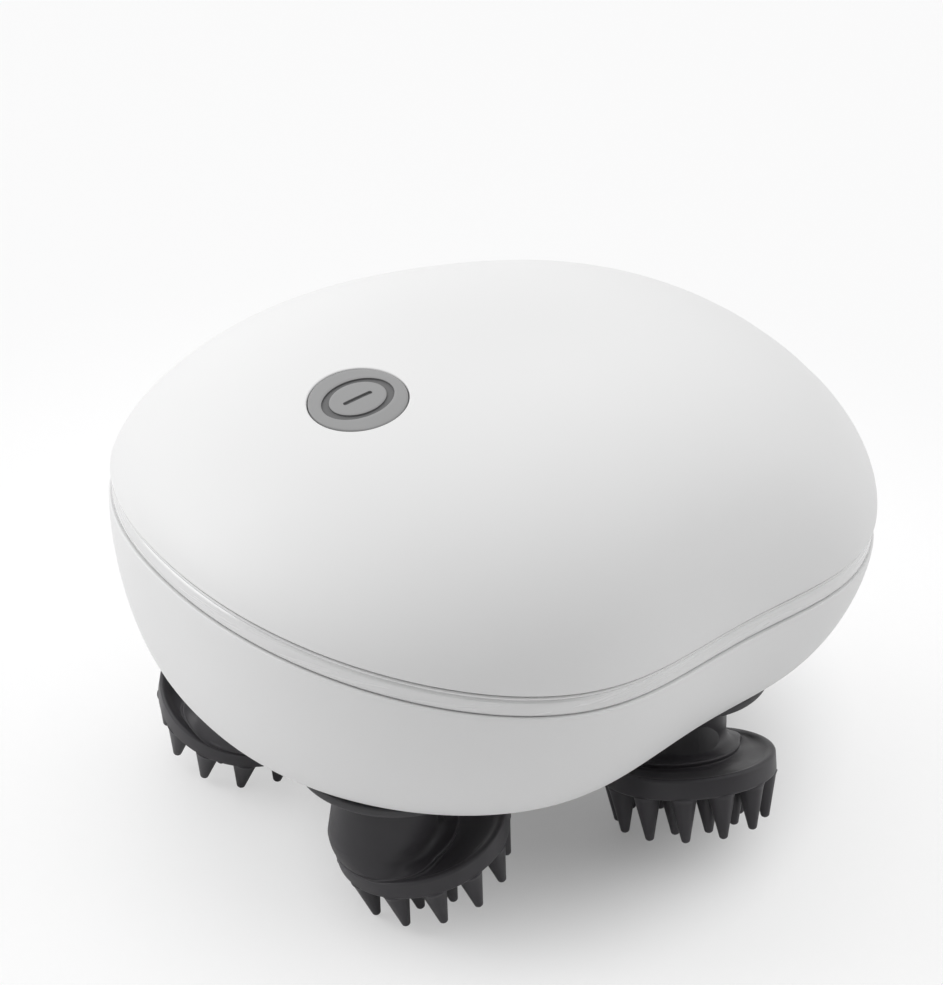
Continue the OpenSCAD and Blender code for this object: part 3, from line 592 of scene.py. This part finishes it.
def socket_ring():
    """Ring with a round recess, and the flange that holds it behind the wall."""
    x, r, q = SOCKET_FACE, SOCKET_R, SOCKET_BODY
    bottom, flange, back = x - SOCKET_DEEP, q + 1.3, SOCKET_X - 5
    prof = [(r * 0.5, bottom), (r - 0.12, bottom), (r, bottom + 0.12), (r, x - 0.3),
            (r + 0.09, x - 0.1), (r + 0.28, x), (q - 0.3, x), (q - 0.08, x - 0.09), (q, x - 0.3),
            (q, SOCKET_X), (flange, SOCKET_X - 0.1), (flange, back)]
    return loft(along_x(prof), (bottom, 0, SOCKET_Z), (back, 0, SOCKET_Z))


build("charge_socket_ring", [socket_ring()], "housing", "charge_socket", "claw_hub",
      weld=0.0001, smooth_angle=40)


# ---- Trim band: main face, soft line, bead and tongue ----

def band():
    """Skin of the band, and the row below the face that shows in the upper parting line."""
    low, top = SEAM_Z + PARTING, SEAM_Z + PARTING + BAND_H
    prof = [(0.75, low - 0.1), (0.62, low), (0.5, low + 0.1), (0.42, low + 0.35)]
    prof += [(0.40, low + 0.35 + (BAND_H - 0.7) * t) for t in (0.25, 0.5, 0.75)]
    prof += [(0.42, top - 0.7), (0.5, top - 0.5), (0.66, top - 0.36), (0.7, top - 0.27),
             (0.62, top - 0.16), (0.5, top - 0.06), (0.46, top + 0.04), (0.46, top + 0.26),
             (0.55, top + 0.36), (0.8, top + 0.41), (BAND_IN, top + 0.41)]
    gap = len(prof) - 1
    prof += [(BAND_IN, DOME_Z0 - 0.05), (TONGUE_IN, DOME_Z0 - 0.05), (TONGUE_IN, SEAM_Z + 0.05),
             (BAND_IN, SEAM_Z + 0.05), (BAND_IN, low - 0.1)]
    return loft([seam_row(d, h) for d, h in prof], "loop"), gap


band_skin, gap_row = band()
trim_piece = build("trim_band_skin", [band_skin], "housing", "trim_band", "trim_clear",
                   weld=0.0001, smooth_angle=50)
# Painted shade: the faces of the row in the upper parting line get a dark grey.
trim_piece.data.materials.append(M["seam_grey"])
for f in trim_piece.data.polygons[gap_row * N:(gap_row + 1) * N]:
    f.material_index = 1


# ---- Collars: rounded flanges under the floor ----

def ring3(p, r, z, angles):
    x, y = p[0] + r * np.cos(angles), p[1] + r * np.sin(angles)
    return np.stack([x, y, np.full(len(angles), z)], 1)


def collar(p):
    r, low, bore, spigot = COLLAR_R, UNDER_Z - COLLAR_T, 6.6, NECK_R + 0.2
    prof = [(bore, FLOOR_Z), (spigot, FLOOR_Z), (spigot, UNDER_Z), (r - 0.3, UNDER_Z)]
    prof += arc(r - 0.3, UNDER_Z - 0.3, 0.3, 90, 0, 4)[1:] + arc(r - 0.9, low + 0.9, 0.9, 0, -90, 6)
    prof += [(10.5, low), (bore + 0.3, low)] + arc(bore + 0.3, low + 0.3, 0.3, -90, -180, 3)[1:]
    return loft([ring3(p, q, z, round_angles(RING)) for q, z in prof], "loop")


build("claw_collars", [collar(p) for p in SPOTS], "housing", "collars", "claw_hub",
      weld=0.0001, smooth_angle=55)


# ---- Claws: upright neck, flared lip, and tilted dished head with round-tipped tines ----

def tilted(pts, i):
    """From the head's frame, with z = 0 at the lower edge of its rim, to the row frame."""
    p = np.asarray(pts, float) - (0, 0, HEAD_DROP)
    c, s = math.cos(TILT), math.sin(TILT)
    x, y, z = p[:, 0] * c - p[:, 2] * s, p[:, 1], p[:, 0] * s + p[:, 2] * c
    a = math.radians(HEAD_TURN[i])
    return np.stack([x * math.cos(a) - y * math.sin(a) + SPOTS[i][0],
                     x * math.sin(a) + y * math.cos(a) + SPOTS[i][1], z + PIVOT_Z], 1)


def from_row(pts, i):
    """From the row frame to the head's frame."""
    p = np.asarray(pts, float) - (*SPOTS[i], PIVOT_Z)
    a = math.radians(-HEAD_TURN[i])
    x = p[:, 0] * math.cos(a) - p[:, 1] * math.sin(a)
    y = p[:, 0] * math.sin(a) + p[:, 1] * math.cos(a)
    c, s = math.cos(TILT), math.sin(TILT)
    return np.stack([x * c + p[:, 2] * s, y, -x * s + p[:, 2] * c + HEAD_DROP], 1)


def smooth_min(a, b):
    """The smaller of two values, rounded where they cross."""
    k = 0.6
    h = np.clip(0.5 + 0.5 * (b - a) / k, 0, 1)
    return b * (1 - h) + a * h - k * h * (1 - h)


def claw_skin(i):
    """Upright neck that flares to a lip on the tilted head. On the head's high side the lip
    leaves a crescent dish, and on its low side the neck runs into the rim. b is the angle
    round the head from its high side, and the levels are heights in the head's frame."""
    b = round_angles(RING)
    a = math.radians(HEAD_TURN[i]) + b

    def disc(q, level):
        return np.stack([q * np.cos(b), q * np.sin(b), np.broadcast_to(level, (RING,))], 1)

    def circle(r, z):
        return from_row(ring3(SPOTS[i], r, z, a), i)

    def wall(r, level):
        """Ring of the upright neck at a level of the head's frame."""
        c, t = math.cos(TILT), math.sin(TILT)
        x = r * np.cos(b)
        z = (level - HEAD_DROP + x * t) / c
        return np.stack([x * c + z * t, r * np.sin(b), np.full(RING, level)], 1)

    lip = share((np.cos(b) + 0.62) / 0.6)             # all of it on the high side
    over = share((-np.cos(b) - 0.45) / 0.45)          # low side, where the neck overhangs the rim
    edge = -BELL_SHIFT * np.cos(b) + np.sqrt(BELL_R ** 2 - (BELL_SHIFT * np.sin(b)) ** 2)
    edge = mix(BED_R + OVERHANG * over, smooth_min(edge, np.full(RING, 13.0)), lip)
    top = mix(HEAD_H - 0.02 - 0.25 * over, BELL_S + BELL_T, lip)
    under = mix(HEAD_H - 0.08 - 0.25 * over, BELL_S + 0.05, lip)

    # Neck
    rows = [circle(6.0, CLAW_TOP), circle(NECK_R - 0.4, CLAW_TOP),
            circle(NECK_R - 0.12, CLAW_TOP - 0.1), circle(NECK_R, CLAW_TOP - 0.4)]
    neck = NECK_R + NECK_SWELL
    high, foot = circle(NECK_R + 0.1, CLAW_TOP - 1.2), wall(neck, FLARE_S)
    rows += [mix(high, foot, f) for f in np.linspace(0, 1, 8)]

    # Flare, as a curve from the foot of the neck towards hold and out to low
    hold, low = wall(neck, BELL_S + BELL_T + 0.15), disc(edge - 0.22, top)
    hold = mix(mix(hold, low, 0.45), hold, lip[:, None])
    for f in np.linspace(0, 1, 20)[1:]:
        rows.append(foot * (1 - f) ** 2 + hold * 2 * f * (1 - f) + low * f * f)

    # Lip
    for q, f in ((-0.07, 0.85), (0.0, 0.6), (-0.03, 0.3), (-0.2, 0.0)):
        rows.append(disc(edge + q * lip, mix(under, top, f)))

    # Dish
    inner = mix(BED_R + 0.04 + OVERHANG * over, np.minimum(edge - 0.4, 12.6), lip)
    bed = HEAD_H - mix(0.1 + 0.24 * over, DISH, lip)
    start = inner + 0.06 * lip + 0.01
    rows += [disc(inner, (under + bed) / 2), disc(start, bed)]
    for f in (0.3, 0.6, 0.88):
        rows.append(disc(start + np.maximum(12.75 - inner, FINE) * f, bed + 0.02 * f * (1 - over)))
    rows.append(disc(np.maximum(13.0, inner + 0.02), mix(bed, HEAD_H - 0.05, 0.5 * (1 - over))))

    # Rim and underside
    rim = [(13.3, HEAD_H - 0.08)] + arc(HEAD_R - RIM_R, HEAD_H - RIM_R, RIM_R, 100, 0, 7)
    for k, (q, z) in enumerate(rim):
        rows.append(disc(np.maximum(q, inner + 0.03 + FINE * k),
                         mix(z, np.minimum(z, bed - FINE * k), over)))
    for q, z in arc(HEAD_R - FOOT_R, FOOT_R, FOOT_R, 0, -90, 6) + [(12.0, 0), (8.0, 0), (4.0, 0)]:
        rows.append(disc(q, z))
    return loft(rows, from_row([(*SPOTS[i], CLAW_TOP)], i)[0], (0, 0, 0), flip=True)


def tine_profile():
    root, root_z = ROOT_R - 0.08, -0.8
    prof = [(ROOT_R * 0.7, 0.6), (ROOT_R + 0.25, 0.1), (ROOT_R + 0.08, -0.25), (root, root_z)]
    for k in range(1, 6):
        prof.append((mix(root, TIP_R, k / 6), mix(root_z, TIP_R * 0.8 - TINE_LEN, k / 6)))
    for g in np.radians([0, 22, 45, 66]):
        prof.append((TIP_R * math.cos(g), TIP_R * 0.75 - TINE_LEN - TIP_R * 0.75 * math.sin(g)))
    return prof + [(0, -TINE_LEN)]


def claw(i):
    parts = [claw_skin(i)]
    for count, r, turn in ((OUTER_N, OUTER_R, OUTER_TURN[i]), (INNER_N, INNER_R, INNER_TURN[i])):
        for k in range(count):
            g = math.pi + math.radians(turn + 360 / count * k)
            p, f = lathe(tine_profile(), 28, (r * math.cos(g), r * math.sin(g), 0))
            parts.append((p, [q[::-1] for q in f]))
    return [(list(tilted(p, i)), f) for p, f in parts]


for i in range(4):
    build(f"claw_rubber_{i + 1}", claw(i), f"claw_{i + 1}", f"claw_pad_{i + 1}", "claw_rubber")


# ---- Power button: crowned cap with an engraved oval and slot, flange and stem ----

def oval(rx, ry):
    a = round_angles(RING)
    return rx * np.cos(a), ry * np.sin(a)


def slot_loop(r):
    """Stadium along X with its points in step with the other loops' angles."""
    a, half = round_angles(RING), BUTTON_SLOT
    x, y = (half + r) * np.cos(a), np.clip(np.sin(a) * (half + r) * 0.5, -r, r)
    over = np.clip((np.abs(x) - half) / r, 0, 1)
    y = np.clip(y, -r * np.sqrt(1 - over ** 2), r * np.sqrt(1 - over ** 2))
    return x, y


def crown(x, y):
    """Height of the cap's face over its middle."""
    return -BUTTON_CROWN * (x ** 2 + y ** 2) / CAP_R ** 2


def button():
    rows, cut, edge = [], BUTTON_CUT, CAP_R - 0.3

    def add(loop, dz=0.0):
        rows.append(on_button(loop[0], loop[1], crown(*loop) + dz))

    def fill(a, b, shares):
        for f in shares:
            add((mix(a[0], b[0], f), mix(a[1], b[1], f)))

    for r, dz in ((0.15, -cut), (0.3, -cut), (0.34, -0.1), (0.4, 0)):
        add(slot_loop(r), dz)
    fill(slot_loop(0.4), oval(4.68, 3.84), (0.25, 0.5, 0.75, 0.9))
    for rx, ry, dz in ((4.7, 3.86, 0), (4.8, 3.96, -0.06), (4.84, 4.0, -cut),
                       (6.1, 4.86, -cut), (6.14, 4.9, -0.06), (6.24, 5.0, 0)):
        add(oval(rx, ry), dz)
    fill(oval(6.24, 5.0), oval(edge, edge), (0.2, 0.5, 0.8))
    for q, dz in ((edge, 0), (CAP_R - 0.14, -0.03), (CAP_R - 0.04, -0.12), (CAP_R, -0.3)):
        add(oval(q, q), dz)
    for q, w in ((CAP_R, FLANGE_TOP), (FLANGE_R, FLANGE_TOP), (FLANGE_R, FLANGE_LOW),
                 (STEM_R, FLANGE_LOW), (STEM_R, STEM_LOW)):
        rows.append(on_button(*oval(q, q), np.full(RING, w)))
    return loft(rows, B_O - B_N * cut, B_O + B_N * STEM_LOW, flip=True)


cap = build("power_button_cap", [button()], "button", "power_button", "button_grey",
            weld=0.0005, smooth_angle=42)
cap.data.materials.append(M["button_mark"])
for f in cap.data.polygons:                           # the engraving is darker
    p = np.array(f.center) / MM - B_O
    x, y, w = p @ B_U, p @ B_V, p @ B_N
    if math.hypot(x, y) < 7 and w < crown(x, y) - 0.05:
        f.material_index = 1


# ---- Floor, light and camera ----

def floor():
    """Pale table. What the camera sees of it has half its colour, glows faintly and whitens away
    from the object.
    The glow is painted shadow: it is weaker in an oval beside the object, where the object's shadow
    falls. The colour is painted light: it is paler near the object, so that the shadows stay soft
    and light."""
    m, nt, bsdf = material("floor_painted_shade_look")
    v = coords(nt)

    def away(centre, near, far, low, high, turn=0.0, squeeze=1.0):
        """From low to high while the distance from a centre, round or oval, grows."""
        local = nt.nodes.new("ShaderNodeMapping")
        local.vector_type = "TEXTURE"
        local.inputs["Location"].default_value = centre
        local.inputs["Rotation"].default_value = (0, 0, turn)
        local.inputs["Scale"].default_value = (1, 1 / squeeze, 1)
        nt.links.new(v, local.inputs["Vector"])
        d = nt.nodes.new("ShaderNodeVectorMath")
        d.operation = "LENGTH"
        nt.links.new(local.outputs["Vector"], d.inputs[0])
        r = nt.nodes.new("ShaderNodeMapRange")
        r.interpolation_type = "SMOOTHSTEP"
        for k, q in (("From Min", near), ("From Max", far), ("To Min", low), ("To Max", high)):
            r.inputs[k].default_value = q
        nt.links.new(d.outputs["Value"], r.inputs["Value"])
        return r.outputs["Result"]

    seen = nt.nodes.new("ShaderNodeLightPath").outputs["Is Camera Ray"]
    # Painted light: the floor's colour is paler near the object, which lightens the shadow there.
    outward = away((0, 0, 0), near=0.07, far=0.17, low=0.0, high=1.0)
    tone = ramp(nt, outward, [(0.0, 0.91), (1.0, 0.765)])
    mottle = ramp(nt, noise(nt, v, 3.0, 2.0), [(0.3, (0.995, 0.995, 1.0)), (0.7, (1.0, 1.0, 1.0))])
    colour_with_painted_light = mixed(nt, 1.0, tone, mottle, "MULTIPLY")
    half = mixed(nt, 1.0, colour_with_painted_light, (0.5, 0.5, 0.5), "MULTIPLY")
    nt.links.new(mixed(nt, seen, colour_with_painted_light, half), bsdf.inputs["Base Color"])
    # Painted shadow: the glow is weaker in an oval pool beside the object, where its shadow falls.
    painted_shadow_pool = away((0.0173, -0.005, 0), near=0.0213, far=0.071, low=0.18, high=0.522,
                turn=0.576, squeeze=1.6)
    glow = mixed(nt, 1.0, painted_shadow_pool, seen, "MULTIPLY")
    bsdf.inputs["Emission Strength"].default_value = 1.0
    nt.links.new(glow, bsdf.inputs["Emission Color"])
    bsdf.inputs["Roughness"].default_value = 0.6
    bumps(nt, bsdf, [(noise(nt, v, 400.0, 2.0), 0.1, 0.00003)])
    me = bpy.data.meshes.new("studio_floor")
    g = 3.0                                           # half its side, in metres
    me.from_pydata([(-g, -g, 0), (g, -g, 0), (g, g, 0), (-g, g, 0)], [], [(0, 1, 2, 3)])
    ob = bpy.data.objects.new("studio_floor", me)
    bpy.context.scene.collection.objects.link(ob)
    me.materials.append(m)


floor()


def lamp(name, at, to, size, power):
    """Square lamp, with its places and size in metres and its power in watts."""
    l = bpy.data.lights.new(name, "AREA")
    l.shape = "RECTANGLE"
    l.size = l.size_y = size
    l.energy = power
    ob = bpy.data.objects.new(name, l)
    ob.location = at
    ob.rotation_euler = (Vector(to) - Vector(at)).to_track_quat("-Z", "Y").to_euler()
    bpy.context.scene.collection.objects.link(ob)


lamp("left", at=(-0.85, 0.70, 0.8), to=(0, 0, 0.04), size=0.9, power=4.85)
lamp("right", at=(0.885, -0.40, 0.6), to=(0, 0, 0.04), size=1.3, power=4.5)


def sky(level, side, up):
    """Soft studio sky: brighter towards one side and overhead."""
    world = bpy.data.worlds.new("studio")
    bpy.context.scene.world = world
    world.use_nodes = True
    nt = world.node_tree
    toward = nt.nodes.new("ShaderNodeTexCoord").outputs["Generated"]

    def dot(v):
        d = nt.nodes.new("ShaderNodeVectorMath")
        d.operation = "DOT_PRODUCT"
        nt.links.new(toward, d.inputs[0])
        d.inputs[1].default_value = v
        return d.outputs["Value"]

    def calc(op, a, b):
        m = nt.nodes.new("ShaderNodeMath")
        m.operation = op
        for sock, v in zip(m.inputs, (a, b)):
            if isinstance(v, (int, float)):
                sock.default_value = v
            else:
                nt.links.new(v, sock)
        return m.outputs["Value"]

    overhead = calc("POWER", calc("MAXIMUM", dot((0, 0, 1)), 0.0), 2.0)
    total = calc("ADD", calc("ADD", dot(side), level), calc("MULTIPLY", overhead, up))
    back = nt.nodes["Background"]
    back.inputs["Color"].default_value = (1, 1, 1, 1)
    nt.links.new(calc("MAXIMUM", total, 0.05), back.inputs["Strength"])


# Left and rear of the photo's view, in the row frame
LEFT, REAR = np.array((-0.807, 0.590, 0)), np.array((0.590, 0.807, 0))
sky(level=0.567, side=tuple(0.348 * LEFT + 0.304 * REAR), up=0.456)


def camera(az, el, dist, f_px, target, roll):
    """Camera at angles in degrees and a distance in millimetres; f_px is its focal length
    in pixels of the 943 x 985 photograph."""
    a, e, r = math.radians(az), math.radians(el), math.radians(roll)
    back = Vector((math.sin(a) * math.cos(e), -math.cos(a) * math.cos(e), math.sin(e)))
    right = Vector((math.cos(a), math.sin(a), 0))
    up = back.cross(right)
    right, up = right * math.cos(r) + up * math.sin(r), up * math.cos(r) - right * math.sin(r)
    cam = bpy.data.cameras.new("photo_view")
    cam.sensor_fit = "VERTICAL"
    cam.sensor_height = 36
    cam.lens = f_px * 36 / 985
    cam.clip_start, cam.clip_end = 0.01, 20
    ob = bpy.data.objects.new("photo_view", cam)
    m = Matrix((right, up, back)).transposed().to_4x4()
    m.translation = (Vector(target) + back * dist) * MM
    ob.matrix_world = m
    bpy.context.scene.collection.objects.link(ob)
    bpy.context.scene.camera = ob


camera(az=-36.16, el=32.69, dist=1157.46, f_px=7165.4, target=(-4.14, 2.30, 58.04), roll=4.45)
bpy.context.scene.view_settings.view_transform = "Standard"
